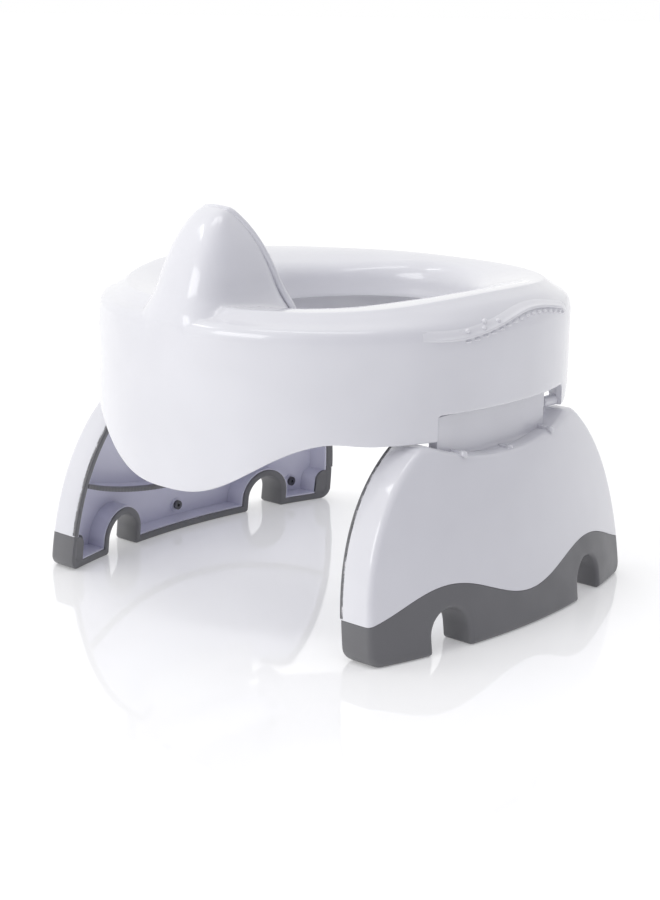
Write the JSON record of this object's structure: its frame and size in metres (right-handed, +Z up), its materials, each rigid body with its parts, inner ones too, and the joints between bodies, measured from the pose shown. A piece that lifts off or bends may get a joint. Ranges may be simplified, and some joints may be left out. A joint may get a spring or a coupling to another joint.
{
  "type": "foldable potty training seat",
  "caption": "Foldable potty training seat: an oval ring with a front splash guard on two hinged wing-shaped legs that fold in for travel and out to sit on a toilet.",
  "frame": {"origin": "on the floor, under the middle of the object's bounding box, in potty mode", "axes": "+X across to the right as seen from the front, -Y to the front where the splash guard is, +Z up"},
  "size_m": [0.2638, 0.243, 0.2035],
  "materials": {
    "white_shell": "glossy injection-moulded polypropylene, cool white",
    "white_panel": "satin injection-moulded polypropylene, cool white",
    "grey_soft": "satin soft-touch thermoplastic rubber, dark grey",
    "clear_soft": "translucent white thermoplastic rubber",
    "pin_steel": "turned stainless steel",
    "screw_steel": "black zinc-plated steel"
  },
  "bodies": {
    "seat": {"seat_shell": "white_shell", "grip_strip_left": "clear_soft", "grip_strip_right": "clear_soft", "latch_plate_left": "white_panel", "latch_plate_right": "white_panel", "latch_screws_left": "screw_steel", "latch_screws_right": "screw_steel"},
    "left_leg": {"leg_shell_left": "white_shell", "leg_foot_left": "grey_soft", "leg_inner_panel_left": "white_panel", "leg_edge_trim_left": "grey_soft", "leg_rib_grip_left": "grey_soft", "leg_screws_left": "screw_steel", "hinge_pins_left": "pin_steel"},
    "right_leg": {"leg_shell_right": "white_shell", "leg_foot_right": "grey_soft", "leg_inner_panel_right": "white_panel", "leg_edge_trim_right": "grey_soft", "leg_rib_grip_right": "grey_soft", "leg_screws_right": "screw_steel", "hinge_pins_right": "pin_steel"}
  },
  "joints": [
    {"name": "left_leg_fold", "type": "hinge", "parent": "seat", "child": "left_leg", "pos_m": [-0.103, 0.0045, 0.1023], "axis": [0, 1, 0], "range_deg": [-90, 79]},
    {"name": "right_leg_fold", "type": "hinge", "parent": "seat", "child": "right_leg", "pos_m": [0.103, 0.0045, 0.1023], "axis": [0, -1, 0], "range_deg": [-90, 79]}
  ]
}
